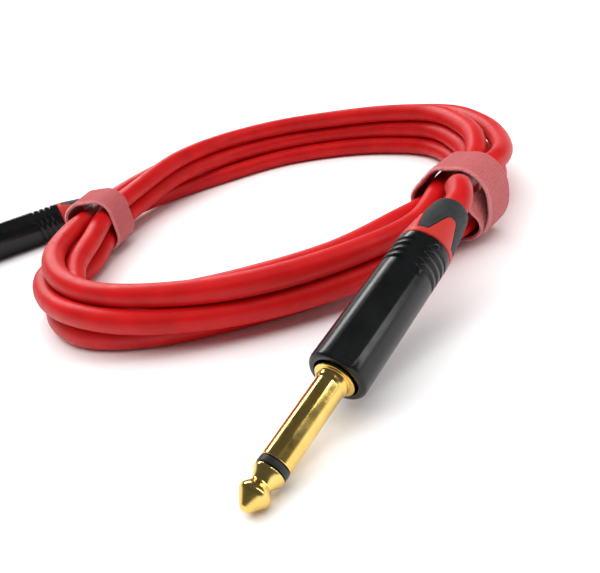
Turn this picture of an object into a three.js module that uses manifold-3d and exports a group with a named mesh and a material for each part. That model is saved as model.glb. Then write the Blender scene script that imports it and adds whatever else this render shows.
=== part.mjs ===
// Instrument cable of the 2 m class, coiled for storage: a red cable wound nearly four and a half
// times round, held by two hook-and-loop ties, with a straight 6.35 mm plug on each end.
// Millimetres, +Z up. The cable lies on the plane Z = 0.
import * as THREE from "three";
import { mergeVertices } from "three/addons/utils/BufferGeometryUtils.js";
import Module from "manifold-3d";

const wasm = await Module();
wasm.setup();

// Driving dimensions.
const GAP = 0.3; // kept between neighbouring pieces
const AROUND = 20; // flats on a turned piece
const CABLE_R = 3.25;
const PIN_R = 3.175; // half of the quarter-inch pin
const SHELL_R = 6.5;
const SHELL_BORE_R = 5.7;
const SLEEVE_BORE_R = 2.25;
const ROD_R = 1.2;
const GRIP_BORE_R = CABLE_R + 0.35; // bushing and boot, round the cable
const BOOT_FRONT_R = 6.4;
const BOOT_REAR_R = 4.6;

// Stations along a plug, measured rearwards from the point of its tip.
const TIP_REAR = 8.25;
const SLEEVE_FRONT = 10;
const FLANGE_FRONT = 30.2;
const SHELL_FRONT = 30.8;
const SLEEVE_REAR = 43;
const JACKET_FRONT = 56;
const SHELL_REAR = 69.6;
const BUSHING_REAR = 71.2;
const BOOT_REAR = 85.2;

// The pattern of grooves and the flat on the shell, and the tongues of the bushing.
const GROOVE_COUNT = 4;
const GROOVE_FIRST = 60.1;
const GROOVE_PITCH = 2.1;
const GROOVE_WIDTH = 0.8;
const GROOVE_DEPTH = 0.4;
const FLAT_DEPTH = 0.47;
const FLAT_ANGLE = 27; // degrees round the plug, from its top
const TONGUE_COUNT = 4;
const TONGUE_ANGLE = 51; // of the first tongue
const TONGUE_WALL = 1.2;
const TONGUE_HALF_WIDTH = 3.6;
const TONGUE_FRONT = 70.9;
const TONGUE_TIP_CENTRE = 76.8;
const TONGUE_TIP_R = 1.5;
const TONGUE_FLANK = 19; // degrees that a tongue's side leans in

// Where the plugs lie, in the plan that the route below is drawn in: the point of the tip, the
// heading from tip to rear in degrees from +X, and the climb of that line in degrees.
const PLUG_A = { tip: [-17.8, 80.7, 2.3], heading: 47.1, climb: 12.1 };
const PLUG_B = { tip: [-150.1, 223.5, 6.55], heading: 24.2, climb: 0 };
// Stations on each plug's axis that the cable passes, from inside the plug to clear of its boot.
const PLUG_RUN = [JACKET_FRONT, 72, 84, 89.5];

// The cable's route. Between the plugs it goes round MIDLINE, one point for each station, from the
// first tie at station 0. SLOTS says where each turn's strand sits in the bundle at a station:
// [outwards from the mid-line, height], for the first turn to the last.
const MIDLINE = [
  [49.5, 171],
  [60.5, 186],
  [67, 203],
  [69.5, 224.5],
  [66, 248],
  [51, 266],
  [30, 278.5],
  [5, 283.5],
  [-19, 278.5],
  [-38.5, 264],
  [-53, 244.5],
  [-62, 223.5],
  [-67.5, 204],
  [-70.5, 186.5],
  [-68, 170],
  [-58, 156],
  [-40, 147],
  [-14, 142.5],
  [12, 146.5],
  [32.5, 157.5],
];
const SLOTS = {
  0: [[2.6, 17.2], [-3.9, 15.3], [-8.1, 9.9], [-3.2, 5.4], [3.5, 5.4]],
  1: [[6.4, 16.2], [-1.2, 15.2], [-7.2, 11.2], [-4.1, 4.6], [3.4, 4.9]],
  2: [[6.6, 14.8], [-1, 16.6], [-3.6, 10.5], [-4.2, 3.7], [5, 4.9]],
  3: [[6.8, 14.3], [-1.1, 16.3], [-3.1, 10.1], [-4.4, 3.6], [6, 5.2]],
  6: [[7.4, 12.6], [-1.6, 15.4], [-1.5, 8.8], [-5, 3.3], [3, 3.3]],
  8: [[6.2, 13], [-0.4, 16.1], [-1.8, 9.6], [-4.6, 3.3], [3, 3.8]],
  9: [[5.2, 13.4], [-2.4, 16.8], [-1.2, 10.3], [2, 3.5]],
  10: [[5.6, 13.4], [-1.2, 14.2], [0.2, 7.8], [7.2, 5.2]],
  11: [[4.6, 13.6], [-2, 13.8], [-1, 7.2], [5.6, 7]],
  12: [[2.2, 15.4], [-4.4, 12.2], [-2.6, 4.6], [4, 7.6]],
  13: [[0, 15.6], [-5, 10.8], [1.6, 3.3], [4.4, 9.8]],
  14: [[-2.6, 14.8], [-6, 9], [1.6, 3.3], [2.2, 10]],
  15: [[-3.6, 13.8], [-6.8, 7.8], [1.6, 3.3], [1.8, 10]],
  16: [[-0.8, 14.2], [-6.2, 10.2], [0.2, 3.3], [3.5, 9.2]],
  17: [[1.4, 14.2], [-5, 12.2], [-3.4, 3.3], [2.4, 7.5]],
  19: [[1.8, 13.3], [-5.4, 12.2], [-3.2, 4.2], [3.2, 6.8]],
};
const STATIONS = MIDLINE.length; // stations in one turn
const LAST_STATION = 4 * STATIONS + 8; // the cable leaves the coil here for the second plug
const LEAD_A = [
  [44.6, 152.6, 21.5],
  [47, 162.6, 17.8],
];
const LEAD_B = [
  [-43.2, 271.4, 4.6],
  [-61, 263.4, 6.1],
];
const LEAD_A_END = 0.35; // station where the first lead meets the coil's solid, just past the tie
const STATION_LENGTH = 22; // from one station to the next, nearly
const LEAD_ROOM = 0.5; // round a lead and past its end, where it lies against the coil's solid
const LEAD_SIDES = 10;
const LEAD_STEP = 10; // length of one straight piece of a lead's tube
const COIL_STEPS = 40;
const COIL_SIDES = 12;

// The ties: centre, heading along the bundle, and the space inside the strap: its half sizes and the
// radius of its corners.
const TIE_A = { centre: [49.5, 171.2, 11.8], heading: 46.6, halfWidth: 11.3, halfHeight: 10.2, corner: 9.2 };
const TIE_B = { centre: [-63.7, 224, 11.4], heading: 252.8, halfWidth: 7.5, halfHeight: 8.4, corner: 5 };
const TIE_WIDTH = 13;
const TIE_THICK = 1.2;

// Brings the middle of the outline to the origin.
const PLAN_MIDDLE = [-35, 186.9];

// Colour, roughness and metalness of each finish.
const FINISHES = {
  gold: [0xd9b26a, 0.25, 1],
  blackShell: [0x17171a, 0.35, 0.4],
  redPlastic: [0xb3202c, 0.45, 0],
  blackRubber: [0x1d1d1f, 0.75, 0],
  redJacket: [0xc2242f, 0.5, 0],
  redStrap: [0xc9545c, 0.95, 0],
  blackPlastic: [0x141415, 0.5, 0],
  brownBoard: [0x4c3a2a, 0.7, 0],
  tinned: [0xb9bcc0, 0.35, 1],
  copper: [0xb87348, 0.4, 1],
  greyPlastic: [0x55585c, 0.6, 0],
};

const radians = THREE.MathUtils.degToRad;
const vector = (point) => new THREE.Vector3(...point);

function piece(name, geometry, finish) {
  const [color, roughness, metalness] = FINISHES[finish];
  const mesh = new THREE.Mesh(geometry, new THREE.MeshStandardMaterial({ color, roughness, metalness }));
  mesh.name = name;
  return mesh;
}

// A piece turned about the plug's axis, from [radius, station] pairs. The outside runs rearwards.
function turned(profile) {
  return new THREE.LatheGeometry(profile.map((pair) => new THREE.Vector2(...pair)), AROUND);
}

function turnedRing(profile) {
  return turned([...profile, profile[0]]);
}

function box(x, y, z) {
  const geometry = new THREE.BoxGeometry(x[1] - x[0], y[1] - y[0], z[1] - z[0]);
  return geometry.translate((x[0] + x[1]) / 2, (y[0] + y[1]) / 2, (z[0] + z[1]) / 2);
}

// A round tube, filled, along a curve.
function rod(curve, radius, sides, steps) {
  const section = new THREE.Shape().absarc(0, 0, radius, 0, 2 * Math.PI);
  return new THREE.ExtrudeGeometry(section, { extrudePath: curve, curveSegments: sides, steps });
}

function solid(geometry) {
  const bare = geometry.clone();
  bare.deleteAttribute("normal");
  bare.deleteAttribute("uv");
  const merged = mergeVertices(bare);
  const mesh = new wasm.Mesh({
    numProp: 3,
    vertProperties: merged.attributes.position.array,
    triVerts: new Uint32Array(merged.index.array),
  });
  return new wasm.Manifold(mesh);
}

function geometryOf(made) {
  const mesh = made.getMesh();
  const geometry = new THREE.BufferGeometry();
  geometry.setAttribute("position", new THREE.BufferAttribute(mesh.vertProperties, 3));
  geometry.setIndex(new THREE.BufferAttribute(mesh.triVerts, 1));
  geometry.computeVertexNormals();
  return geometry;
}

// The pieces of one plug, in the plug's own frame: +Y runs from tip to rear, +Z is its top.

// The contact at the point, one piece with the rod that is riveted over at the back.
function tip() {
  return turned([
    [0, 0.3],
    [0.95, 0.4],
    [1.45, 1],
    [2.97, 3],
    [3.12, 3.7],
    [3, 4.35],
    [2.5, 5],
    [2.15, 5.7],
    [2.8, 7],
    [PIN_R, 7.7],
    [PIN_R, TIP_REAR],
    [ROD_R, TIP_REAR],
    [ROD_R, 46.2],
    [2, 46.2],
    [2, 46.8],
    [0, 46.8],
  ]);
}

function tipInsulator() {
  const front = TIP_REAR + GAP;
  const shoulder = SLEEVE_FRONT - GAP;
  return turnedRing([
    [ROD_R + GAP, front],
    [PIN_R - 0.08, front],
    [PIN_R - 0.08, shoulder],
    [SLEEVE_BORE_R - GAP, shoulder],
    [SLEEVE_BORE_R - GAP, 33],
    [ROD_R + GAP, 33],
  ]);
}

// The earth contact, with the bead and flange before the shell and the body inside it.
function sleeve() {
  return turnedRing([
    [SLEEVE_BORE_R, SLEEVE_FRONT],
    [3, SLEEVE_FRONT],
    [PIN_R, 10.2],
    [PIN_R, 28.6],
    [3.5, 29],
    [3.5, FLANGE_FRONT],
    [4.45, FLANGE_FRONT],
    [4.45, SHELL_FRONT + 0.1],
    [4.2, SHELL_FRONT + 0.1],
    [4.2, 34],
    [5.3, 34],
    [5.3, SLEEVE_REAR],
    [SLEEVE_BORE_R, SLEEVE_REAR],
  ]);
}

function rearInsulator() {
  const front = SLEEVE_REAR + GAP;
  return turnedRing([
    [ROD_R + GAP, front],
    [3.6, front],
    [3.6, front + 1.5],
    [ROD_R + GAP, front + 1.5],
  ]);
}

// The solder tag that the tip's rod is riveted to.
function tipTerminal() {
  const front = SLEEVE_REAR + 1.8 + GAP;
  const rear = front + 0.8;
  const washer = turnedRing([
    [ROD_R + GAP, front],
    [3.2, front],
    [3.2, rear],
    [ROD_R + GAP, rear],
  ]);
  const tag = box([2.3, 3], [front + 0.1, 52], [-1.2, 1.2]);
  return geometryOf(solid(washer).add(solid(tag)));
}

function groundTab() {
  return box([-4.6, -4], [SLEEVE_REAR + GAP, 54], [-1.2, 1.2]);
}

// Profile of the shell's outside over its ring grooves.
function grooveProfile() {
  const points = [];
  for (let n = 0; n < GROOVE_COUNT; n++) {
    const front = GROOVE_FIRST + n * GROOVE_PITCH;
    points.push([SHELL_R, front]);
    points.push([SHELL_R - GROOVE_DEPTH, front + GROOVE_WIDTH / 4]);
    points.push([SHELL_R - GROOVE_DEPTH, front + (GROOVE_WIDTH * 3) / 4]);
    points.push([SHELL_R, front + GROOVE_WIDTH]);
  }
  return points;
}

function shell() {
  const body = turnedRing([
    [4.9, SHELL_FRONT],
    [5.6, SHELL_FRONT],
    [SHELL_R, 32.6],
    ...grooveProfile(),
    [SHELL_R, SHELL_REAR - GAP],
    [SHELL_R - GAP, SHELL_REAR],
    [SHELL_BORE_R, SHELL_REAR],
    [SHELL_BORE_R, 33.6],
    [4.9, 33.6],
  ]);
  const flat = box([-4, 4], [SHELL_FRONT - 1, SHELL_REAR + 1], [SHELL_R - FLAT_DEPTH, SHELL_R + 1]);
  flat.rotateY(radians(FLAT_ANGLE));
  return geometryOf(solid(body).subtract(solid(flat)));
}

// The insulating tube that keeps the joints inside off the shell.
function liner() {
  return turnedRing([
    [5.1, 44],
    [5.35, 44],
    [5.35, 59],
    [5.1, 59],
  ]);
}

// The chuck that the bushing presses round the cable.
function chuck() {
  return turnedRing([
    [CABLE_R + GAP, 57.5],
    [3.9, 57.5],
    [4.25, 58.5],
    [4.25, 66],
    [CABLE_R + GAP, 66],
  ]);
}

function bootRadius(station) {
  const share = (station - SHELL_REAR) / (BOOT_REAR - SHELL_REAR);
  return BOOT_FRONT_R - (BOOT_FRONT_R - BOOT_REAR_R) * share ** 1.2;
}

// The outside of the boot between two stations, raised by a height.
function bootOutside(front, rear, raise) {
  const steps = 4;
  const points = [];
  for (let n = 0; n <= steps; n++) {
    const station = THREE.MathUtils.lerp(front, rear, n / steps);
    points.push([bootRadius(station) + raise, station]);
  }
  return points;
}

// Four prisms with the outline of a tongue: a triangle with a round tip, pointing rearwards.
function tonguePrisms(grow) {
  const flank = radians(TONGUE_FLANK);
  const outline = new THREE.Shape();
  outline.moveTo(-TONGUE_HALF_WIDTH - grow, TONGUE_FRONT);
  outline.lineTo(TONGUE_HALF_WIDTH + grow, TONGUE_FRONT);
  outline.absarc(0, TONGUE_TIP_CENTRE, TONGUE_TIP_R + grow, flank, Math.PI - flank);
  outline.closePath();
  const prisms = [];
  for (let n = 0; n < TONGUE_COUNT; n++) {
    const prism = new THREE.ExtrudeGeometry(outline, { depth: 6, curveSegments: 4, bevelEnabled: false });
    prism.translate(0, 0, 2);
    prism.rotateY(radians(TONGUE_ANGLE + (n * 360) / TONGUE_COUNT));
    prisms.push(solid(prism));
  }
  return prisms.reduce((joined, prism) => joined.add(prism));
}

// The bushing screws into the shell and reaches over the boot with its tongues.
function bushing() {
  const wall = bootOutside(TONGUE_FRONT, 79, -TONGUE_WALL).reverse();
  const whole = turnedRing([
    [4.6, 60.3],
    [5.35, 60.3],
    [5.35, SHELL_REAR + GAP],
    ...bootOutside(SHELL_REAR + GAP, 79, 0),
    ...wall,
    [GRIP_BORE_R, TONGUE_FRONT],
    [GRIP_BORE_R, 66.8],
    [4.6, 66.8],
  ]);
  const front = turned([
    [0, 60],
    [8, 60],
    [8, BUSHING_REAR],
    [0, BUSHING_REAR],
  ]);
  const kept = solid(front).add(tonguePrisms(0));
  return geometryOf(solid(whole).intersect(kept));
}

// The soft boot, moulded under and between the tongues.
function boot() {
  const front = BUSHING_REAR + GAP;
  const body = turnedRing([
    [GRIP_BORE_R, front],
    ...bootOutside(front, BOOT_REAR - 0.5, 0),
    [BOOT_REAR_R - 0.4, BOOT_REAR],
    [GRIP_BORE_R, BOOT_REAR],
  ]);
  const pocket = turnedRing([
    ...bootOutside(TONGUE_FRONT, 79, 1),
    ...bootOutside(TONGUE_FRONT, 79, -TONGUE_WALL - GAP).reverse(),
  ]);
  const pockets = solid(pocket).intersect(tonguePrisms(GAP));
  return geometryOf(solid(body).subtract(pockets));
}

// The cable's stripped ends: the core to the tip's tag, the screen to the earth tab.
function wire(points, radius) {
  const path = new THREE.CatmullRomCurve3(points.map(([x, y]) => new THREE.Vector3(x, y, 0)));
  return rod(path, radius, 6, 5);
}

function coreWire() {
  const end = JACKET_FRONT - GAP;
  return wire([[0.8, end], [1.2, 52], [1.2, 48]], 0.7);
}

function shieldWire() {
  const end = JACKET_FRONT - 2 * GAP;
  return wire([[-0.9, end], [-2.6, 53], [-3, 50]], 0.6);
}

const PLUG_PIECES = [
  ["tip", tip, "gold"],
  ["tip_insulator", tipInsulator, "blackPlastic"],
  ["sleeve", sleeve, "gold"],
  ["rear_insulator", rearInsulator, "brownBoard"],
  ["tip_terminal", tipTerminal, "tinned"],
  ["ground_tab", groundTab, "tinned"],
  ["core_wire", coreWire, "copper"],
  ["shield_wire", shieldWire, "tinned"],
  ["shell", shell, "blackShell"],
  ["liner", liner, "greyPlastic"],
  ["chuck", chuck, "greyPlastic"],
  ["bushing", bushing, "redPlastic"],
  ["boot", boot, "blackRubber"],
];

function axisOf({ heading, climb }) {
  const level = Math.cos(radians(climb));
  return new THREE.Vector3(
    level * Math.cos(radians(heading)),
    level * Math.sin(radians(heading)),
    Math.sin(radians(climb)),
  );
}

function plug(name, place) {
  const along = axisOf(place);
  const top = new THREE.Vector3(0, 0, 1).projectOnPlane(along).normalize();
  const side = along.clone().cross(top);
  const group = new THREE.Group();
  group.quaternion.setFromRotationMatrix(new THREE.Matrix4().makeBasis(side, along, top));
  group.position.copy(vector(place.tip));
  for (const [kind, make, finish] of PLUG_PIECES) group.add(piece(`${name}_${kind}`, make(), finish));
  return group;
}

// The cable.

function plugRun(place) {
  return PLUG_RUN.map((station) => vector(place.tip).addScaledVector(axisOf(place), station));
}

// Every listed slot, by its station counted on from turn to turn.
const stops = [];
for (let turn = 0; turn * STATIONS <= LAST_STATION; turn++) {
  for (const [station, strands] of Object.entries(SLOTS)) {
    if (strands[turn]) stops.push({ at: turn * STATIONS + Number(station), slot: strands[turn] });
  }
}

function slotAt(at) {
  const next = Math.max(1, stops.findIndex((stop) => stop.at >= at));
  const [before, after] = [stops[next - 1], stops[next]];
  const share = (at - before.at) / (after.at - before.at);
  return before.slot.map((value, n) => THREE.MathUtils.lerp(value, after.slot[n], share));
}

const midline = new THREE.CatmullRomCurve3(MIDLINE.map(([x, y]) => new THREE.Vector3(x, y, 0)), true);

// The point of the bundle's cross-section at a station, from its slot.
function bundlePoint(station, [outwards, height]) {
  const share = (station % STATIONS) / STATIONS;
  const along = midline.getTangent(share);
  const point = midline.getPoint(share);
  return new THREE.Vector3(point.x + along.y * outwards, point.y - along.x * outwards, height);
}

const coilPoints = [];
for (let at = 0; at <= LAST_STATION; at++) coilPoints.push(bundlePoint(at, slotAt(at)));
const startPoints = [...plugRun(PLUG_A), ...LEAD_A.map(vector)];
const endPoints = [...LEAD_B.map(vector), ...plugRun(PLUG_B).reverse()];
const routePoints = [...startPoints, ...coilPoints, ...endPoints];
const route = new THREE.CatmullRomCurve3(routePoints);

// A stretch of the route, between two places counted in points along it.
class Stretch extends THREE.Curve {
  constructor(from, to) {
    super();
    this.from = from;
    this.to = to;
  }

  getPoint(share, target) {
    const place = THREE.MathUtils.lerp(this.from, this.to, share);
    return route.getPoint(place / (routePoints.length - 1), target);
  }
}

const coilStart = startPoints.length;
const coilEnd = coilStart + LAST_STATION;

function lead(stretch, radius) {
  const steps = Math.round(stretch.getLength() / LEAD_STEP);
  return rod(stretch, radius, LEAD_SIDES, steps);
}

// Each lead, fattened by some room and lengthened by it at the end that meets the coil's solid.
function leadA(room) {
  const end = coilStart + LEAD_A_END + room / STATION_LENGTH;
  return lead(new Stretch(0, end), CABLE_R + room);
}

function leadB(room) {
  const start = coilEnd + (GAP - room) / STATION_LENGTH;
  return lead(new Stretch(start, routePoints.length - 1), CABLE_R + room);
}

// Slots of the strands that the coil's solid holds at a place round the loop.
function strandsAt(place) {
  const found = [];
  for (let at = place; at <= LAST_STATION; at += STATIONS) {
    if (at > LEAD_A_END) found.push(slotAt(at));
  }
  return found;
}

// Corners of the many-sided outline that just holds every strand.
function bundleOutline(strands) {
  const step = (2 * Math.PI) / COIL_SIDES;
  const reach = (n) => {
    const [x, z] = [Math.cos(n * step), Math.sin(n * step)];
    return CABLE_R + Math.max(...strands.map(([outwards, height]) => x * outwards + z * height));
  };
  const corners = [];
  for (let n = 0; n < COIL_SIDES; n++) {
    const slide = (reach(n + 1) - reach(n) * Math.cos(step)) / Math.sin(step);
    const [x, z] = [Math.cos(n * step), Math.sin(n * step)];
    corners.push([reach(n) * x - slide * z, reach(n) * z + slide * x]);
  }
  return corners;
}

// The places round the loop that the coil's outline is taken at, with a close pair at each place
// where a strand ends.
function coilPlaces() {
  const even = Array.from({ length: COIL_STEPS }, (_, n) => (n * STATIONS) / COIL_STEPS);
  const ends = [LEAD_A_END, LAST_STATION % STATIONS];
  const pairs = ends.flatMap((place) => [place - 0.01, place + 0.01]);
  const clear = even.filter((place) => ends.every((end) => Math.abs(place - end) > 0.02));
  return [...clear, ...pairs].sort((a, b) => a - b);
}

function coilLoft() {
  const places = coilPlaces();
  const positions = [];
  for (const place of places) {
    for (const corner of bundleOutline(strandsAt(place))) {
      positions.push(...bundlePoint(place, corner).toArray());
    }
  }
  const index = [];
  for (let row = 0; row < places.length; row++) {
    const here = row * COIL_SIDES;
    const next = ((row + 1) % places.length) * COIL_SIDES;
    for (let n = 0; n < COIL_SIDES; n++) {
      const m = (n + 1) % COIL_SIDES;
      index.push(here + n, next + n, here + m);
      index.push(here + m, next + n, next + m);
    }
  }
  const geometry = new THREE.BufferGeometry();
  geometry.setAttribute("position", new THREE.Float32BufferAttribute(positions, 3));
  geometry.setIndex(index);
  return geometry;
}

function roundedRectangle(halfWidth, halfHeight, radius) {
  const [x, y] = [halfWidth - radius, halfHeight - radius];
  const path = new THREE.Shape();
  path.absarc(x, y, radius, 0, Math.PI / 2);
  path.absarc(-x, y, radius, Math.PI / 2, Math.PI);
  path.absarc(-x, -y, radius, Math.PI, Math.PI * 1.5);
  path.absarc(x, -y, radius, Math.PI * 1.5, Math.PI * 2);
  return path;
}

// The strap's loop round the bundle, grown on every side by a clearance.
function tieLoop({ centre, heading, halfWidth, halfHeight, corner }, grow) {
  const outside = TIE_THICK + grow;
  const outer = roundedRectangle(halfWidth + outside, halfHeight + outside, corner + outside);
  outer.holes.push(roundedRectangle(halfWidth - grow, halfHeight - grow, corner - grow));
  const depth = TIE_WIDTH + 2 * grow;
  const loop = new THREE.ExtrudeGeometry(outer, { depth, curveSegments: 6, bevelEnabled: false });
  loop.translate(0, 0, -depth / 2);
  loop.rotateX(Math.PI / 2);
  loop.rotateZ(radians(heading - 90));
  return loop.translate(...centre);
}

// The outer shape of the coiled strands, with room for the leads and the ties.
function coil() {
  const room = [
    leadA(LEAD_ROOM),
    leadB(LEAD_ROOM),
    tieLoop(TIE_A, GAP),
    tieLoop(TIE_B, GAP),
  ];
  const made = room.reduce((whole, part) => whole.subtract(solid(part)), solid(coilLoft()));
  return geometryOf(made);
}

const cable = new THREE.Group();
cable.position.set(-PLAN_MIDDLE[0], -PLAN_MIDDLE[1], 0);
cable.add(plug("plug_a", PLUG_A));
cable.add(plug("plug_b", PLUG_B));
cable.add(piece("cable_lead_a", leadA(0), "redJacket"));
cable.add(piece("cable_coil", coil(), "redJacket"));
cable.add(piece("cable_lead_b", leadB(0), "redJacket"));
cable.add(piece("tie_a", tieLoop(TIE_A, 0), "redStrap"));
cable.add(piece("tie_b", tieLoop(TIE_B, 0), "redStrap"));

export default cable;
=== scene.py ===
"""Looks of a coiled instrument cable: the jacket, the two plugs and the two hook-and-loop ties."""

import math

import bmesh
import bpy
from mathutils import Matrix, Vector, noise


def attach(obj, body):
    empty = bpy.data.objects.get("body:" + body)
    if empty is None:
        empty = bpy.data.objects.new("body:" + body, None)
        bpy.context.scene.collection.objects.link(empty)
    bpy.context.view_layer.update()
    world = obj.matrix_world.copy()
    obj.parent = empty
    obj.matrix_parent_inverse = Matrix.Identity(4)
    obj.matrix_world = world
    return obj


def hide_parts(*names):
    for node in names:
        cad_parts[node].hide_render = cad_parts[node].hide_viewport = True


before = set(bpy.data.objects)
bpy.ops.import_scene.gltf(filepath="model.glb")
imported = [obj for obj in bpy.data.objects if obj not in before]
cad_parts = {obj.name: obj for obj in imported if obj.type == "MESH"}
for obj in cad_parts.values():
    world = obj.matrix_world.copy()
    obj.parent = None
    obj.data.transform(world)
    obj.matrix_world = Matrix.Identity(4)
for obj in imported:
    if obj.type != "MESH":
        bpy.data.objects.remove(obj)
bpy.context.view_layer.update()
MM = 0.001
ROOT = "cable_set"

# ---------------------------------------------------------------------------------------------
# The camera. The route below is drawn in a plan that has the camera at its origin.

PLAN_MIDDLE = Vector((-0.035, 0.1869, 0))  # plan point that is the frame's origin
CAMERA_HEIGHT = 0.0824
CAMERA_PITCH = math.radians(27.1)  # below the horizon
CAMERA_ROLL = math.radians(12.9)
CAMERA_LENS = 39.0


def make_camera():
    right = Vector((1, 0, 0))
    ahead = Vector((0, math.cos(CAMERA_PITCH), -math.sin(CAMERA_PITCH)))
    up = right.cross(ahead)
    side = math.cos(CAMERA_ROLL) * right - math.sin(CAMERA_ROLL) * up
    top = math.sin(CAMERA_ROLL) * right + math.cos(CAMERA_ROLL) * up
    data = bpy.data.cameras.new("camera")
    data.lens = CAMERA_LENS
    data.sensor_width = 36
    data.clip_start = 0.01
    camera = bpy.data.objects.new("camera", data)
    bpy.context.scene.collection.objects.link(camera)
    turn = Matrix((side, top, -ahead)).transposed().to_4x4()
    camera.matrix_world = Matrix.Translation(Vector((0, 0, CAMERA_HEIGHT)) - PLAN_MIDDLE) @ turn
    bpy.context.scene.camera = camera


make_camera()

# ---------------------------------------------------------------------------------------------
# The cable's route, in metres.

CABLE_R = 0.00325
PLUG_A = {"tip": (-0.0178, 0.0807, 0.0023), "heading": 47.1, "climb": 12.1}
PLUG_B = {"tip": (-0.1501, 0.2235, 0.00655), "heading": 24.2, "climb": 0}
PLUG_RUN = (0.056, 0.072, 0.084, 0.0895)

MIDLINE = (
    (0.0495, 0.171), (0.0605, 0.186), (0.067, 0.203), (0.0695, 0.2245), (0.066, 0.248),
    (0.051, 0.266), (0.03, 0.2785), (0.005, 0.2835), (-0.019, 0.2785), (-0.0385, 0.264),
    (-0.053, 0.2445), (-0.062, 0.2235), (-0.0675, 0.204), (-0.0705, 0.1865), (-0.068, 0.17),
    (-0.058, 0.156), (-0.04, 0.147), (-0.014, 0.1425), (0.012, 0.1465), (0.0325, 0.1575),
)
SLOTS = {
    0: ((0.0026, 0.0172), (-0.0039, 0.0153), (-0.0081, 0.0099), (-0.0032, 0.0054), (0.0035, 0.0054)),
    1: ((0.0064, 0.0162), (-0.0012, 0.0152), (-0.0072, 0.0112), (-0.0041, 0.0046), (0.0034, 0.0049)),
    2: ((0.0066, 0.0148), (-0.001, 0.0166), (-0.0036, 0.0105), (-0.0042, 0.0037), (0.005, 0.0049)),
    3: ((0.0068, 0.0143), (-0.0011, 0.0163), (-0.0031, 0.0101), (-0.0044, 0.0036), (0.006, 0.0052)),
    6: ((0.0074, 0.0126), (-0.0016, 0.0154), (-0.0015, 0.0088), (-0.005, 0.0033), (0.003, 0.0033)),
    8: ((0.0062, 0.013), (-0.0004, 0.0161), (-0.0018, 0.0096), (-0.0046, 0.0033), (0.003, 0.0038)),
    9: ((0.0052, 0.0134), (-0.0024, 0.0168), (-0.0012, 0.0103), (0.002, 0.0035)),
    10: ((0.0056, 0.0134), (-0.0012, 0.0142), (0.0002, 0.0078), (0.0072, 0.0052)),
    11: ((0.0046, 0.0136), (-0.002, 0.0138), (-0.001, 0.0072), (0.0056, 0.007)),
    12: ((0.0022, 0.0154), (-0.0044, 0.0122), (-0.0026, 0.0046), (0.004, 0.0076)),
    13: ((0, 0.0156), (-0.005, 0.0108), (0.0016, 0.0033), (0.0044, 0.0098)),
    14: ((-0.0026, 0.0148), (-0.006, 0.009), (0.0016, 0.0033), (0.0022, 0.01)),
    15: ((-0.0036, 0.0138), (-0.0068, 0.0078), (0.0016, 0.0033), (0.0018, 0.01)),
    16: ((-0.0008, 0.0142), (-0.0062, 0.0102), (0.0002, 0.0033), (0.0035, 0.0092)),
    17: ((0.0014, 0.0142), (-0.005, 0.0122), (-0.0034, 0.0033), (0.0024, 0.0075)),
    19: ((0.0018, 0.0133), (-0.0054, 0.0122), (-0.0032, 0.0042), (0.0032, 0.0068)),
}
STATIONS = len(MIDLINE)
LAST_STATION = 4 * STATIONS + 8
LEAD_A = ((0.0446, 0.1526, 0.0215), (0.047, 0.1626, 0.0178))
LEAD_B = ((-0.0432, 0.2714, 0.0046), (-0.061, 0.2634, 0.0061))
ROUTE_STEP = 0.125  # share of the way from one point to the next that the spline is drawn at


def plug_axis(place):
    heading, climb = math.radians(place["heading"]), math.radians(place["climb"])
    level = math.cos(climb)
    return Vector((level * math.cos(heading), level * math.sin(heading), math.sin(climb)))


def plug_point(place, station):
    return Vector(place["tip"]) + plug_axis(place) * station


def smooth_point(a, b, c, d, share):
    """A point between b and c on a smooth curve through a, b, c and d."""
    first, middle, last = (math.sqrt((q - p).length) for p, q in ((a, b), (b, c), (c, d)))
    leave = (b - a) / first - (c - a) / (first + middle) + (c - b) / middle
    arrive = (c - b) / middle - (d - b) / (middle + last) + (d - c) / last
    leave, arrive = leave * middle, arrive * middle
    bend = 2 * b - 2 * c + leave + arrive
    slope = -3 * b + 3 * c - 2 * leave - arrive
    return b + leave * share + slope * share**2 + bend * share**3


def coil_stops():
    """Every listed slot, by its station counted on from turn to turn."""
    stops = []
    for turn in range(LAST_STATION // STATIONS + 1):
        for station, strands in SLOTS.items():
            if turn < len(strands):
                stops.append((turn * STATIONS + station, strands[turn]))
    return stops


def slot_at(stops, at):
    after = max(1, next(n for n, stop in enumerate(stops) if stop[0] >= at))
    (start, low), (end, high) = stops[after - 1], stops[after]
    share = (at - start) / (end - start)
    return [p + (q - p) * share for p, q in zip(low, high)]


def coil_points():
    """The turns: one point at each station, set off from the mid-line by its slot."""
    stops = coil_stops()
    ring = [Vector((x, y, 0)) for x, y in MIDLINE]
    points = []
    for at in range(LAST_STATION + 1):
        outwards, height = slot_at(stops, at)
        before, here, after = (ring[(at + n) % STATIONS] for n in (-1, 0, 1))
        near = smooth_point(ring[(at - 2) % STATIONS], before, here, after, 0.99)
        along = (here - near).normalized()
        points.append(here + Vector((along.y, -along.x, 0)) * outwards + Vector((0, 0, height)))
    return points


def route_points():
    start = [plug_point(PLUG_A, station) for station in PLUG_RUN]
    end = [plug_point(PLUG_B, station) for station in reversed(PLUG_RUN)]
    lead_a, lead_b = ([Vector(point) for point in lead] for lead in (LEAD_A, LEAD_B))
    return start + lead_a + coil_points() + lead_b + end


def drawn_route():
    """The route as closely spaced points, in the frame."""
    points = route_points()
    points = [2 * points[0] - points[1]] + points + [2 * points[-1] - points[-2]]
    drawn = []
    for n in range(1, len(points) - 2):
        steps = round(1 / ROUTE_STEP)
        for step in range(steps):
            drawn.append(smooth_point(*points[n - 1 : n + 3], step * ROUTE_STEP))
    drawn.append(points[-2])
    return [point - PLAN_MIDDLE for point in drawn]


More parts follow.
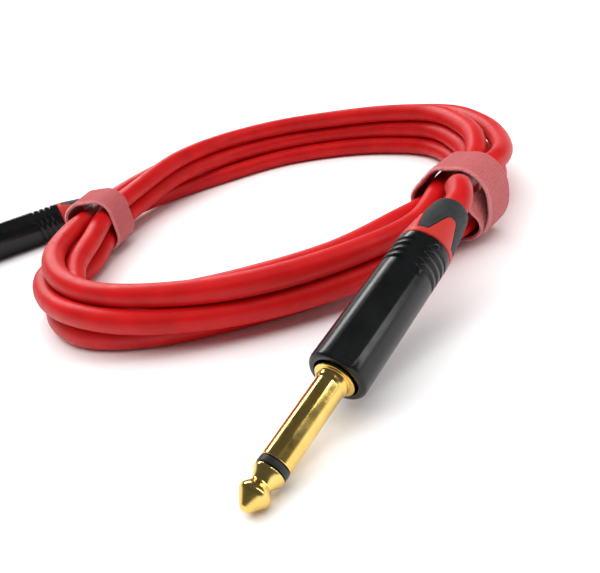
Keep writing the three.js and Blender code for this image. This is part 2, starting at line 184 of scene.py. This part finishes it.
def make_cable():
    route = drawn_route()
    curve = bpy.data.curves.new("cable", "CURVE")
    curve.dimensions = "3D"
    curve.bevel_depth = CABLE_R
    curve.bevel_resolution = 7
    curve.use_fill_caps = True
    spline = curve.splines.new("POLY")
    spline.points.add(len(route) - 1)
    for point, place in zip(spline.points, route):
        point.co = (*place, 1)
    spline.use_smooth = True
    cable = bpy.data.objects.new("cable", curve)
    bpy.context.scene.collection.objects.link(cable)
    return cable, sum((q - p).length for p, q in zip(route, route[1:]))


cable, cable_length = make_cable()
print("cable length", round(cable_length, 4))

# ---------------------------------------------------------------------------------------------
# Materials.


class Paint:
    """A material whose shader is set directly and whose detail comes from nodes."""

    def __init__(self, name, colour, roughness, metallic=0.0, **more):
        self.material = bpy.data.materials.new(name)
        self.material.use_nodes = True
        self.tree = self.material.node_tree
        self.shader = self.tree.nodes["Principled BSDF"]
        self.shader.inputs["Base Color"].default_value = (*colour, 1)
        self.shader.inputs["Roughness"].default_value = roughness
        self.shader.inputs["Metallic"].default_value = metallic
        for socket, value in more.items():
            self.shader.inputs[socket.replace("_", " ")].default_value = value
        self.place = self.node("ShaderNodeTexCoord").outputs["Object"]
        self.height = None

    def node(self, kind, **settings):
        made = self.tree.nodes.new(kind)
        for key, value in settings.items():
            setattr(made, key, value)
        return made

    def link(self, source, target):
        self.tree.links.new(source, target)

    def stretch(self, scale):
        """The object's coordinates, scaled, in units of one over a metre."""
        mapping = self.node("ShaderNodeMapping")
        mapping.inputs["Scale"].default_value = scale
        self.link(self.place, mapping.inputs["Vector"])
        return mapping.outputs["Vector"]

    def noise(self, scale, detail=3, roughness=0.5):
        """Noise whose grains are 1 / scale metres across, along each axis."""
        made = self.node("ShaderNodeTexNoise")
        made.inputs["Scale"].default_value = 1
        made.inputs["Detail"].default_value = detail
        made.inputs["Roughness"].default_value = roughness
        self.link(self.stretch(scale), made.inputs["Vector"])
        return made.outputs["Fac"]

    def spread(self, value, low, high, start=0.3, end=0.7):
        made = self.node("ShaderNodeMapRange")
        for socket, number in zip(("From Min", "From Max", "To Min", "To Max"), (start, end, low, high)):
            made.inputs[socket].default_value = number
        self.link(value, made.inputs["Value"])
        return made.outputs["Result"]

    def vary_colour(self, value, dark, light):
        ramp = self.node("ShaderNodeValToRGB")
        ramp.color_ramp.elements[0].position = 0.3
        ramp.color_ramp.elements[1].position = 0.7
        ramp.color_ramp.elements[0].color = (*dark, 1)
        ramp.color_ramp.elements[1].color = (*light, 1)
        self.link(value, ramp.inputs["Fac"])
        self.link(ramp.outputs["Color"], self.shader.inputs["Base Color"])

    def vary_roughness(self, value, low, high):
        self.link(self.spread(value, low, high), self.shader.inputs["Roughness"])

    def bump(self, value, depth, strength=1.0):
        """Raises the surface by up to depth metres where value is 1."""
        made = self.node("ShaderNodeBump")
        made.inputs["Distance"].default_value = depth
        made.inputs["Strength"].default_value = strength
        self.link(value, made.inputs["Height"])
        if self.height:
            self.link(self.height, made.inputs["Normal"])
        self.height = made.outputs["Normal"]
        self.link(self.height, self.shader.inputs["Normal"])


def fine(size_mm):
    """Noise scale for grains of a size in millimetres, alike along every axis."""
    return (1 / (size_mm * MM),) * 3


def gold_plate():
    paint = Paint("gold_plate", (0.85, 0.6, 0.18), 0.14, 1.0)
    turning = paint.noise((40, 9000, 40), 2)
    smudge = paint.noise(fine(3.5), 4, 0.6)
    paint.vary_colour(paint.noise(fine(6), 2), (0.8, 0.53, 0.13), (0.88, 0.65, 0.22))
    paint.vary_roughness(smudge, 0.09, 0.22)
    paint.bump(turning, 0.004 * MM, 0.5)
    return paint.material


def insulator_black():
    paint = Paint("insulator_black", (0.012, 0.012, 0.013), 0.42)
    paint.vary_roughness(paint.noise(fine(0.5)), 0.36, 0.5)
    paint.bump(paint.noise(fine(0.2)), 0.01 * MM, 0.4)
    return paint.material


def shell_black():
    paint = Paint("shell_black", (0.004, 0.0045, 0.005), 0.23, 0.0, Specular_IOR_Level=0.34)
    paint.vary_colour(paint.noise(fine(5), 3), (0.003, 0.0033, 0.0037), (0.006, 0.0065, 0.007))
    paint.vary_roughness(paint.noise(fine(2.2), 4, 0.6), 0.2, 0.27)
    paint.bump(paint.noise(fine(0.12), 2), 0.003 * MM, 0.4)
    return paint.material


def boot_rubber():
    paint = Paint("boot_rubber", (0.024, 0.026, 0.027), 0.62, 0.0, Specular_IOR_Level=0.3)
    paint.vary_colour(paint.noise(fine(2.5), 4), (0.02, 0.022, 0.023), (0.031, 0.033, 0.034))
    paint.vary_roughness(paint.noise(fine(0.9)), 0.55, 0.72)
    paint.bump(paint.noise(fine(0.22), 3, 0.6), 0.035 * MM, 0.7)
    return paint.material


def bushing_red():
    paint = Paint("bushing_red", (0.52, 0.03, 0.024), 0.42, 0.0, Specular_IOR_Level=0.35)
    paint.shader.inputs["Subsurface Weight"].default_value = 0.1
    paint.shader.inputs["Subsurface Radius"].default_value = (0.002, 0.0006, 0.0004)
    paint.vary_colour(paint.noise(fine(4), 3), (0.49, 0.026, 0.019), (0.56, 0.036, 0.026))
    paint.vary_roughness(paint.noise(fine(1.2)), 0.37, 0.5)
    paint.bump(paint.noise(fine(0.18), 2), 0.012 * MM, 0.5)
    return paint.material


def jacket_red():
    paint = Paint("jacket_red", (0.54, 0.004, 0.005), 0.44, 0.0, Specular_IOR_Level=0.25)
    paint.shader.inputs["Subsurface Weight"].default_value = 0.08
    paint.shader.inputs["Subsurface Radius"].default_value = (0.0025, 0.0006, 0.0004)
    paint.vary_colour(paint.noise(fine(9), 4), (0.48, 0.003, 0.004), (0.6, 0.006, 0.007))
    paint.vary_roughness(paint.noise(fine(2.5), 4, 0.6), 0.36, 0.5)
    paint.bump(paint.noise(fine(1.4), 2), 0.03 * MM, 0.15)
    paint.bump(paint.noise(fine(0.16), 2), 0.01 * MM, 0.35)
    return paint.material


def plain_detail(name, colour, roughness, metallic=0.0, grain=0.4):
    """A quieter finish, for the pieces inside the plugs."""
    paint = Paint(name, colour, roughness, metallic)
    dark, light = (tuple(value * share for value in colour) for share in (0.85, 1.15))
    paint.vary_colour(paint.noise(fine(grain * 4), 3), dark, light)
    paint.vary_roughness(paint.noise(fine(grain * 2)), roughness * 0.85, roughness * 1.2)
    paint.bump(paint.noise(fine(grain)), 0.02 * MM, 0.5)
    return paint.material


GOLD = gold_plate()
INSULATOR = insulator_black()
SHELL = shell_black()
RUBBER = boot_rubber()
BUSHING = bushing_red()
JACKET = jacket_red()

# ---------------------------------------------------------------------------------------------
# Mesh helpers. A plug's pieces are made in its own frame, in millimetres: Y from tip to rear.


def mesh_from(name, verts, faces, sharp=40):
    """A closed mesh in metres, from points in millimetres, shaded smooth but for sharp edges."""
    made = bmesh.new()
    corners = [made.verts.new(Vector(v) * MM) for v in verts]
    for face in faces:
        made.faces.new([corners[n] for n in face])
    return finish_mesh(name, made, sharp)


def finish_mesh(name, made, sharp=40):
    bmesh.ops.remove_doubles(made, verts=made.verts, dist=1e-7)
    bmesh.ops.recalc_face_normals(made, faces=made.faces)
    for face in made.faces:
        face.smooth = True
    for edge in made.edges:
        edge.smooth = edge.calc_face_angle(0) < math.radians(sharp)
    mesh = bpy.data.meshes.new(name)
    made.to_mesh(mesh)
    made.free()
    return mesh


def rounded(profile, radius, steps=3, closed=True):
    """The profile with each corner of more than 20 degrees turned into an arc."""
    count = len(profile)
    result = []
    for n, corner in enumerate(profile):
        here = Vector(corner)
        ends = not closed and n in (0, count - 1)
        before = Vector(profile[n - 1]) - here
        after = Vector(profile[(n + 1) % count]) - here
        if ends or before.length < 1e-6 or after.length < 1e-6:
            result.append(tuple(here))
            continue
        half = before.angle(after) / 2
        if half > math.radians(80):
            result.append(tuple(here))
            continue
        back = min(radius / math.tan(half), 0.45 * before.length, 0.45 * after.length)
        first, last = here + before.normalized() * back, here + after.normalized() * back
        for step in range(steps + 1):
            share = step / steps
            point = first * (1 - share) ** 2 + here * 2 * share * (1 - share) + last * share**2
            result.append(tuple(point))
    return result


def lathe(name, profile, angles=96, shape=None, sharp=40):
    """A mesh turned about Y. shape(radius, station, angle) may change a point's radius."""
    turns = [2 * math.pi * n / angles for n in range(angles)] if isinstance(angles, int) else angles
    on_axis = profile[0][0] == 0
    verts, rows = [], []
    for radius, station in profile:
        if radius == 0:
            rows.append([len(verts)] * len(turns))
            verts.append((0, station, 0))
            continue
        rows.append(list(range(len(verts), len(verts) + len(turns))))
        for angle in turns:
            r = shape(radius, station, angle) if shape else radius
            verts.append((r * math.sin(angle), station, r * math.cos(angle)))
    pairs = list(zip(rows, rows[1:])) + ([] if on_axis else [(rows[-1], rows[0])])
    faces = []
    for low, high in pairs:
        for n in range(len(turns)):
            m = (n + 1) % len(turns)
            face = [low[n], low[m], high[m], high[n]]
            faces.append(list(dict.fromkeys(face)))
    return mesh_from(name, verts, faces, sharp)


def boolean(mesh, tool, operation):
    """The first mesh joined with, or cut by, the second."""
    target = bpy.data.objects.new("boolean_target", mesh)
    cutter = bpy.data.objects.new("boolean_tool", tool)
    for obj in (target, cutter):
        bpy.context.scene.collection.objects.link(obj)
    step = target.modifiers.new("step", "BOOLEAN")
    step.operation = operation
    step.solver = "EXACT"
    step.object = cutter
    bpy.context.view_layer.update()
    result = bpy.data.meshes.new_from_object(target.evaluated_get(bpy.context.evaluated_depsgraph_get()))
    for obj in (target, cutter):
        bpy.data.objects.remove(obj)
    made = bmesh.new()
    made.from_mesh(result)
    bmesh.ops.dissolve_degenerate(made, dist=2e-6, edges=made.edges)
    return finish_mesh(mesh.name, made)


# ---------------------------------------------------------------------------------------------
# The plugs' shapes, in millimetres.

PIN_R = 3.175
SHELL_R = 6.5
SHELL_FRONT, SHELL_REAR = 30.8, 69.6
FLAT_ANGLE = math.radians(27)
FLAT_REACH = 5.98  # from the plug's axis to the shell's flat
GROOVES = [60.1 + 2.1 * n for n in range(4)]
GROOVE_WIDTH, GROOVE_DEPTH, GROOVE_STEPS = 1.0, 0.4, 12
TONGUE_ANGLES = [math.radians(51 + 90 * n) for n in range(4)]
TONGUE_FRONT, TONGUE_TIP_CENTRE, TONGUE_TIP_R = 70.9, 76.8, 1.5
TONGUE_HALF_WIDTH, TONGUE_WALL, TONGUE_RAISE = 3.6, 1.2, 0.08
TONGUE_FLANK = math.radians(19)
TONGUE_SHOULDER = TONGUE_TIP_CENTRE + TONGUE_TIP_R * math.sin(TONGUE_FLANK)  # its round tip begins
TONGUE_NARROW = TONGUE_TIP_R * math.cos(TONGUE_FLANK)  # half its width there
TONGUE_SLOPE = (TONGUE_HALF_WIDTH - TONGUE_NARROW) / (TONGUE_SHOULDER - TONGUE_FRONT)
TONGUE_END = TONGUE_TIP_CENTRE + TONGUE_TIP_R
BORE_R = 3.6
BOOT_FRONT_R, BOOT_NARROWS, BOOT_END = 6.4, 1.8, 85.2


def tip_mesh():
    nose = [(0, 0.25), (0.5, 0.28), (0.95, 0.5), (1.25, 0.8), (2.9, 2.9)]
    bulb = [(3.08, 3.3), (3.12, 3.7), (3.02, 4.15), (2.75, 4.6)]
    neck = [(2.35, 5.15), (2.16, 5.45), (2.12, 5.75), (2.25, 6.1), (2.6, 6.7), (2.95, 7.25)]
    rear = [(PIN_R, 7.7), (PIN_R, 8.22), (1.2, 8.22), (1.2, 46.2), (2, 46.2), (2, 46.8), (0, 46.8)]
    return lathe("tip_turned", rounded(nose + bulb + neck + rear, 0.12, closed=False))


def insulator_mesh():
    ring = [(1.5, 8.5), (3.14, 8.5), (3.14, 9.75), (1.95, 9.75), (1.95, 33), (1.5, 33)]
    return lathe("insulator_turned", rounded(ring, 0.06))


def sleeve_mesh():
    pin = [(2.25, 10), (3.05, 10), (PIN_R, 10.15), (PIN_R, 28.5)]
    bead = [(3.4, 28.8), (3.5, 29), (3.5, 30.2)]
    flange = [(4.45, 30.2), (4.45, 31.3), (4.2, 31.3), (4.2, 34), (5.3, 34), (5.3, 43), (2.25, 43)]
    return lathe("sleeve_turned", rounded(pin + bead + flange, 0.15))


def groove_profile():
    points = []
    for front in GROOVES:
        for n in range(GROOVE_STEPS + 1):
            drop = GROOVE_DEPTH * math.sin(math.pi * n / GROOVE_STEPS) ** 0.7
            points.append((SHELL_R - drop, front + GROOVE_WIDTH * n / GROOVE_STEPS))
    return points


def on_flat(radius, station, angle):
    """The shell's radius where its flat is milled along it, with a slightly rounded edge."""
    turn = (angle - FLAT_ANGLE + math.pi) % (2 * math.pi) - math.pi
    if radius < 5.8 or abs(turn) > math.radians(35):
        return radius
    flat = FLAT_REACH / math.cos(turn)
    round_off = 0.05
    return (radius + flat - math.hypot(radius - flat, round_off)) / 2


def shell_angles():
    """Angles round the shell, closer together over its flat."""
    near = [FLAT_ANGLE + math.radians(n * 0.4) for n in range(-70, 71)]
    far = [FLAT_ANGLE + math.radians(28 + n * 2.5) for n in range(1, 121)]
    return near + [angle for angle in far if angle < FLAT_ANGLE + math.radians(331)]


def shell_mesh():
    front = [(4.9, SHELL_FRONT + 0.1), (5.1, SHELL_FRONT), (5.9, SHELL_FRONT)]
    front += [(6.4, 31.3), (SHELL_R, 32)]
    rear = [(SHELL_R, SHELL_REAR - 0.25), (6.3, SHELL_REAR), (5.7, SHELL_REAR), (5.7, 33.6), (4.9, 33.6)]
    body = [(SHELL_R, 34 + n * 2) for n in range(13)]
    front_curve = rounded(front, 0.5, 5, closed=False)
    profile = front_curve + body + groove_profile() + rounded(rear, 0.2, closed=False)
    return lathe("shell_turned", profile, shell_angles(), on_flat, 75)


def boot_radius(station):
    share = (station - SHELL_REAR) / (BOOT_END - SHELL_REAR)
    return BOOT_FRONT_R - BOOT_NARROWS * share**1.2


def boot_side(front, rear, raised, steps):
    stations = [front + (rear - front) * n / steps for n in range(steps + 1)]
    return [(boot_radius(station) + raised, station) for station in stations]


def tongue_half_width(station):
    """Half the width of a tongue: its sides lean in to a round tip."""
    if station > TONGUE_SHOULDER:
        return math.sqrt(max(0, TONGUE_TIP_R**2 - (station - TONGUE_TIP_CENTRE) ** 2))
    return TONGUE_NARROW + (TONGUE_SHOULDER - station) * TONGUE_SLOPE


def tongue_mesh(angle):
    """One tongue: a leaf that follows the boot's outside, with a rounded rim."""
    rows, columns, rim = 28, 16, 0.22
    stations = [TONGUE_FRONT - 0.3]
    for n in range(1, rows + 1):
        share = n / (rows + 0.35)
        stations.append(TONGUE_FRONT + (TONGUE_END - TONGUE_FRONT) * (1 - (1 - share) ** 1.6))
    verts, faces = [], []
    for inner in (False, True):
        for station in stations:
            half = tongue_half_width(max(station, TONGUE_FRONT))
            for n in range(columns + 1):
                across = math.sin(math.pi * (n / columns - 0.5)) * half
                edge = min(half - abs(across), TONGUE_END - station)
                fall = rim - math.sqrt(max(0, rim**2 - (rim - min(edge, rim)) ** 2))
                lift = -TONGUE_WALL if inner else TONGUE_RAISE - fall
                radius = boot_radius(station) + lift
                turn = angle + math.asin(across / boot_radius(station))
                verts.append((radius * math.sin(turn), station, radius * math.cos(turn)))
    wide = columns + 1
    back = wide * len(stations)
    for row in range(len(stations) - 1):
        for n in range(columns):
            a = row * wide + n
            faces.append((a, a + 1, a + 1 + wide, a + wide))
            faces.append((back + a, back + a + wide, back + a + 1 + wide, back + a + 1))
    for row in range(len(stations) - 1):
        for a in (row * wide, row * wide + columns):
            faces.append((a, a + wide, back + a + wide, back + a))
    for n in range(columns):
        for a in (n, (len(stations) - 1) * wide + n):
            faces.append((a, a + 1, back + a + 1, back + a))
    return mesh_from("tongue", verts, faces)


def bushing_mesh():
    ring = [(BORE_R, 66.8), (4.6, 66.8), (4.6, 60.3), (5.35, 60.3), (5.35, 69.75), (6.3, 69.75)]
    ring += [(boot_radius(station) + TONGUE_RAISE, station) for station in (70, 71.3)]
    ring.append((BORE_R, 71.3))
    made = lathe("bushing_moulded", rounded(ring, 0.1), 120)
    for angle in TONGUE_ANGLES:
        made = boolean(made, tongue_mesh(angle), "UNION")
    return made


def pocket_prism(angle, grow=0.14):
    """The room for a tongue in the boot."""
    outline = []
    for n in range(25):
        station = TONGUE_FRONT + (TONGUE_END - TONGUE_FRONT) * math.sin(math.pi / 2 * n / 24)
        outline.append((tongue_half_width(station) + grow, station))
    outline[-1] = (0.02, TONGUE_END + grow)
    left = [(-half, station) for half, station in reversed(outline)]
    ring = outline + left
    turn = Matrix.Rotation(angle, 3, "Y")
    verts = [turn @ Vector((x, y, z)) for z in (0.5, 8) for x, y in ring]
    count = len(ring)
    faces = [tuple(range(count)), tuple(range(2 * count - 1, count - 1, -1))]
    faces += [(n, n + count, (n + 1) % count + count, (n + 1) % count) for n in range(count)]
    return mesh_from("pocket", verts, faces)


def boot_mesh():
    rear = [(4.6, 84.2), (4.47, 84.75), (4.15, 85.1), (3.7, 85.2)]
    side = boot_side(71.45, 83.6, 0, 16) + rounded(rear, 0.4, closed=False)
    made = lathe("boot_moulded", [(BORE_R, 71.45)] + side + [(BORE_R, 85.1)], 120)
    floor = boot_side(TONGUE_FRONT, 79, -TONGUE_WALL - 0.12, 10)
    hollow = lathe("hollow", floor + boot_side(TONGUE_FRONT, 79, 2, 4)[::-1], 120)
    for angle in TONGUE_ANGLES:
        made = boolean(made, boolean(hollow.copy(), pocket_prism(angle), "INTERSECT"), "DIFFERENCE")
    return made


def plug_matrix(place):
    along = plug_axis(place)
    top = (Vector((0, 0, 1)) - along * along.z).normalized()
    side = along.cross(top)
    turn = Matrix((side, along, top)).transposed().to_4x4()
    return Matrix.Translation(Vector(place["tip"]) - PLAN_MIDDLE) @ turn


PLUG_SHAPES = (
    ("tip", tip_mesh(), GOLD, "contact_gold", ""),
    ("tip_insulator", insulator_mesh(), INSULATOR, "insulator", ""),
    ("sleeve", sleeve_mesh(), GOLD, "contact_gold", ""),
    ("shell", shell_mesh(), SHELL, "shell_black", ""),
    ("bushing", bushing_mesh(), BUSHING, "bushing_red", "_grip"),
    ("boot", boot_mesh(), RUBBER, "boot_black", "_grip"),
)
INNER_PAINTS = {
    "rear_insulator": plain_detail("pressed_board", (0.1, 0.055, 0.03), 0.65),
    "tip_terminal": plain_detail("tinned_tag", (0.62, 0.63, 0.64), 0.32, 1.0),
    "ground_tab": plain_detail("tinned_tab", (0.62, 0.63, 0.64), 0.32, 1.0),
    "core_wire": plain_detail("copper_wire", (0.72, 0.36, 0.2), 0.35, 1.0, 0.2),
    "shield_wire": plain_detail("tinned_screen", (0.66, 0.67, 0.68), 0.35, 1.0, 0.2),
    "liner": plain_detail("liner_plastic", (0.12, 0.125, 0.13), 0.5),
    "chuck": plain_detail("chuck_plastic", (0.1, 0.105, 0.11), 0.45),
}


def make_plug(name, place):
    """The shown pieces of one plug, as the list of their names."""
    names = []
    for kind, mesh, paint, slot, body in PLUG_SHAPES:
        piece = bpy.data.objects.new(f"{name}_{kind}_piece", mesh)
        bpy.context.scene.collection.objects.link(piece)
        if not mesh.materials:
            mesh.materials.append(paint)
        piece.matrix_world = plug_matrix(place)
        steady = piece.modifiers.new("normals", "WEIGHTED_NORMAL")
        steady.keep_sharp = True
        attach(piece, name + body if body else ROOT)
        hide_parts(f"{name}_{kind}")
        names.append(piece.name)
    for kind, paint in INNER_PAINTS.items():
        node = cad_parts[f"{name}_{kind}"]
        node.data.materials.clear()
        node.data.materials.append(paint)
        names.append(node.name)
    return names


plug_a_names = make_plug("plug_a", PLUG_A)
plug_b_names = make_plug("plug_b", PLUG_B)

cable.data.materials.append(JACKET)
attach(cable, ROOT)
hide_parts("cable_lead_a", "cable_coil", "cable_lead_b")

# ---------------------------------------------------------------------------------------------
# The ties: a strap wound clockwise round the bundle, one end lapped over the other. Millimetres,
# as [outwards across the bundle, height], from the middle of the space inside.
#
# start: where the inner end lies, counted clockwise along the strap from the right
# lap: how far the ends lap
# under, slide: how far the inner end is led inwards, and along the bundle to the plug's side
# over, peel: how far the outer end is led outwards along the lap, and lifts at its very end
# round_end: radius of the inner end's corners
# dent: how far the strap is pulled in on its upper left

TIE_WIDTH, TIE_THICK = 13.0, 1.15
RIB_PITCH = 0.75  # of the tape's weave
DENT_AT, DENT_SPREAD = math.radians(135), math.radians(38)  # where a tie is pulled in, if it is
TIE_A = {"centre": (0.0495, 0.1712, 0.0118), "heading": 46.6, "half": (11.3, 10.2), "corner": 9.2}
TIE_A |= {"start": -6.5, "lap": 14, "under": 4, "over": 0, "peel": 0.3}
TIE_A |= {"round_end": 6.5, "dent": 2.3, "slide": 6}
TIE_B = {"centre": (-0.0637, 0.224, 0.0114), "heading": 252.8, "half": (7.5, 8.4), "corner": 5}
TIE_B |= {"start": -6, "lap": 12, "under": 0, "over": 1.3, "peel": 0.4}
TIE_B |= {"round_end": 1.5, "dent": 0, "slide": 0}


def ring_path(tie):
    """Closely spaced pairs of a point and the outward direction there, clockwise from the right."""
    pairs = []
    for n in range(240):
        turn = -2 * math.pi * (n + 0.5) / 240
        out = Vector((math.cos(turn), math.sin(turn)))
        centre = [math.copysign(half - tie["corner"], value) for half, value in zip(tie["half"], out)]
        dent = tie["dent"] * math.exp(-(((turn + 2 * math.pi - DENT_AT) / DENT_SPREAD) ** 2))
        pairs.append((Vector(centre) + out * (tie["corner"] + TIE_THICK / 2 - dent), out))
    return pairs


def eased(share):
    share = min(1, max(0, share))
    return share * share * (3 - 2 * share)


def inner_end(tie, at):
    """How far the strap is still led inwards, and along the bundle, from its inner end: 1 to 0."""
    return 1 - eased(at / (tie["lap"] + 3))


def strap_rows(tie):
    """Rows along the strap: distance from its inner end, middle of its thickness, outward direction."""
    ring = ring_path(tie)
    reach = [0]
    for (here, _), (after, _) in zip(ring, ring[1:] + ring[:1]):
        reach.append(reach[-1] + (after - here).length)
    around = reach[-1]
    total = around + tie["lap"]
    steps = round(4 * total / RIB_PITCH)
    rows = []
    for n in range(steps + 1):
        at = total * n / steps
        place = (tie["start"] + at) % around
        low = max(k for k in range(len(ring)) if reach[k] <= place)
        share = (place - reach[low]) / (reach[low + 1] - reach[low])
        (first, out_a), (last, out_b) = ring[low], ring[(low + 1) % len(ring)]
        out = (out_a + (out_b - out_a) * share).normalized()
        lift = -tie["under"] * inner_end(tie, at) + tie["over"] * eased((at - around + 7) / 7)
        lift += tie["peel"] * max(0, (at - total + 6) / 6) ** 2
        rows.append((at, first + (last - first) * share + out * lift, out))
    return rows


def strap_half_width(tie, at, total):
    """Half the strap's width: its ends are cut round, one of them more than the other."""
    half = TIE_WIDTH / 2
    for gap, radius in ((at, tie["round_end"]), (total - at, 1.5)):
        if gap < radius:
            half = min(half, TIE_WIDTH / 2 - radius + math.sqrt(radius**2 - (radius - gap) ** 2) + 0.4)
    return half + 0.06 * math.sin(at / 1.7)


def strap_mesh(name, tie, paints):
    """The strap: its outside of soft loops over a ribbed tape, its inside of hooks painted a darker red
    as painted shade, and its edges.
    """
    rows = strap_rows(tie)
    total = rows[-1][0]
    columns, edge = 22, 0.45
    heading = math.radians(tie["heading"])
    along = Vector((math.cos(heading), math.sin(heading), 0))
    outwards = Vector((along.y, -along.x, 0))
    centre = Vector(tie["centre"]) - PLAN_MIDDLE
    made = bmesh.new()
    flat = made.loops.layers.uv.new("flat")
    sides = {}
    for at, middle, out in rows:
        half = strap_half_width(tie, at, total)
        slide = -tie["slide"] * inner_end(tie, at)
        for n in range(columns + 1):
            across = half * (2 * n / columns - 1)
            rim = min(half - abs(across), at, total - at)
            fall = math.sqrt(max(0, 1 - (1 - min(rim, edge) / edge) ** 2))
            rib = 0.085 * math.sin(2 * math.pi * at / RIB_PITCH) if rim > 0.7 else 0
            pile = 0.07 * noise.noise(Vector((at / 0.9, across / 0.9, tie["heading"])))
            selvage = 0.1 if 0.2 < half - abs(across) < 1.0 else 0
            for side in (1, -1):
                relief = (rib + pile + selvage) * fall if side == 1 else 0.04 * pile
                depth = side * TIE_THICK / 2 * fall + relief
                point = middle + out * depth
                offset = outwards * point.x + Vector((0, 0, point.y)) + along * (across + slide)
                place = centre + offset * MM
                sides[side, at, n] = (made.verts.new(place), (at * MM, across * MM))
    for (low, _, _), (high, _, _) in zip(rows, rows[1:]):
        for n in range(columns):
            for side in (1, -1):
                ring = ((low, n), (low, n + 1), (high, n + 1), (high, n))
                corners = [sides[side, *key] for key in ring]
                face = made.faces.new([vert for vert, _ in corners])
                for loop, (_, place) in zip(face.loops, corners):
                    loop[flat].uv = place
                at_edge = n in (0, columns - 1)
                # the inside faces take the darker red paint, which is painted shade
                face.material_index = 2 if at_edge else 0 if side == 1 else 1
    mesh = finish_mesh(name, made, 60)
    for paint in paints:
        mesh.materials.append(paint)
    return mesh, total


def tape_paint(name, dark, light, pile_mm, sheen):
    """A woven tape: ribs across it, threads along it and a pile over both."""
    gloss = {"Sheen_Weight": sheen, "Sheen_Roughness": 0.45, "Specular_IOR_Level": 0.15}
    paint = Paint(name, light, 0.9, 0.0, **gloss)
    paint.place = paint.node("ShaderNodeTexCoord").outputs["UV"]
    fuzz = paint.noise(fine(pile_mm), 5, 0.7)
    paint.vary_colour(fuzz, dark, light)
    paint.bump(paint.noise((1 / (0.3 * MM), 1 / (1.4 * MM), 1), 2), 0.1 * MM, 0.6)
    paint.bump(fuzz, 0.16 * MM, 0.8)
    paint.bump(paint.noise(fine(pile_mm * 0.3), 3, 0.8), 0.07 * MM, 0.7)
    return paint.material


STRAP_PAINTS = (
    tape_paint("tie_loops", (0.34, 0.036, 0.04), (0.66, 0.15, 0.155), 0.34, 0.35),
    # the inside: the same tape painted a darker red, as painted shade inside the ring
    tape_paint("tie_hooks_painted_shade", (0.19, 0.006, 0.009), (0.36, 0.02, 0.026), 0.3, 0.1),
    tape_paint("tie_edges", (0.5, 0.09, 0.1), (0.82, 0.34, 0.34), 0.22, 0.4),
)


def make_tie(name, tie):
    mesh, total = strap_mesh(name + "_strap", tie, STRAP_PAINTS)
    piece = bpy.data.objects.new(name + "_strap", mesh)
    bpy.context.scene.collection.objects.link(piece)
    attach(piece, ROOT)
    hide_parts(name)
    print(name, "strap length", round(total, 2))


make_tie("tie_a", TIE_A)
make_tie("tie_b", TIE_B)

# ---------------------------------------------------------------------------------------------
# The floor and the light.


def make_floor():
    made = bmesh.new()
    bmesh.ops.create_grid(made, x_segments=1, y_segments=1, size=12)
    mesh = bpy.data.meshes.new("floor")
    made.to_mesh(mesh)
    made.free()
    floor = bpy.data.objects.new("floor", mesh)
    bpy.context.scene.collection.objects.link(floor)
    paint = Paint("floor_white", (0.97, 0.96, 0.96), 0.6, 0.0, Specular_IOR_Level=0.2)
    mesh.materials.append(paint.material)


def area_light(name, place, size, power, aim=(0, 0, 0)):
    data = bpy.data.lights.new(name, "AREA")
    data.shape = "RECTANGLE"
    data.size, data.size_y = size
    data.energy = power
    light = bpy.data.objects.new(name, data)
    bpy.context.scene.collection.objects.link(light)
    light.location = place
    light.rotation_euler = (Vector(aim) - Vector(place)).to_track_quat("-Z", "Y").to_euler()


def overhead_light(strength, spread, tilt):
    """An even light from far above, so that the floor is alike all over."""
    data = bpy.data.lights.new("overhead", "SUN")
    data.energy = strength
    data.angle = math.radians(spread)
    light = bpy.data.objects.new("overhead", data)
    bpy.context.scene.collection.objects.link(light)
    light.rotation_euler = [math.radians(angle) for angle in tilt]
    light.visible_glossy = False


def make_world():
    """A studio that is white at the horizon and dim overhead."""
    world = bpy.data.worlds.new("studio")
    world.use_nodes = True
    nodes, links = world.node_tree.nodes, world.node_tree.links
    place = nodes.new("ShaderNodeTexCoord")
    split = nodes.new("ShaderNodeSeparateXYZ")
    ramp = nodes.new("ShaderNodeValToRGB")
    ramp.color_ramp.elements[0].color = (1, 1, 1, 1)
    for position, grey in ((0.08, 1.0), (0.24, 0.12), (0.75, 0.08)):
        ramp.color_ramp.elements.new(position).color = (grey, grey, grey, 1)
    ramp.color_ramp.elements[-1].color = (0.1, 0.1, 0.1, 1)
    links.new(place.outputs["Generated"], split.inputs["Vector"])
    links.new(split.outputs["Z"], ramp.inputs["Fac"])
    links.new(ramp.outputs["Color"], nodes["Background"].inputs["Color"])
    nodes["Background"].inputs["Strength"].default_value = 1.1
    bpy.context.scene.world = world


make_floor()
make_world()
overhead_light(3.3, 80, (-6, -5, 0))
area_light("softbox", (-1.0, 3.0, 1.8), (2.6, 0.8), 52)
area_light("strip", (0.45, -0.16, 0.32), (0.05, 0.5), 0.7)
bpy.context.scene.view_settings.view_transform = "Standard"


def corners(box):
    return [[float(value) for value in corner] for corner in box]
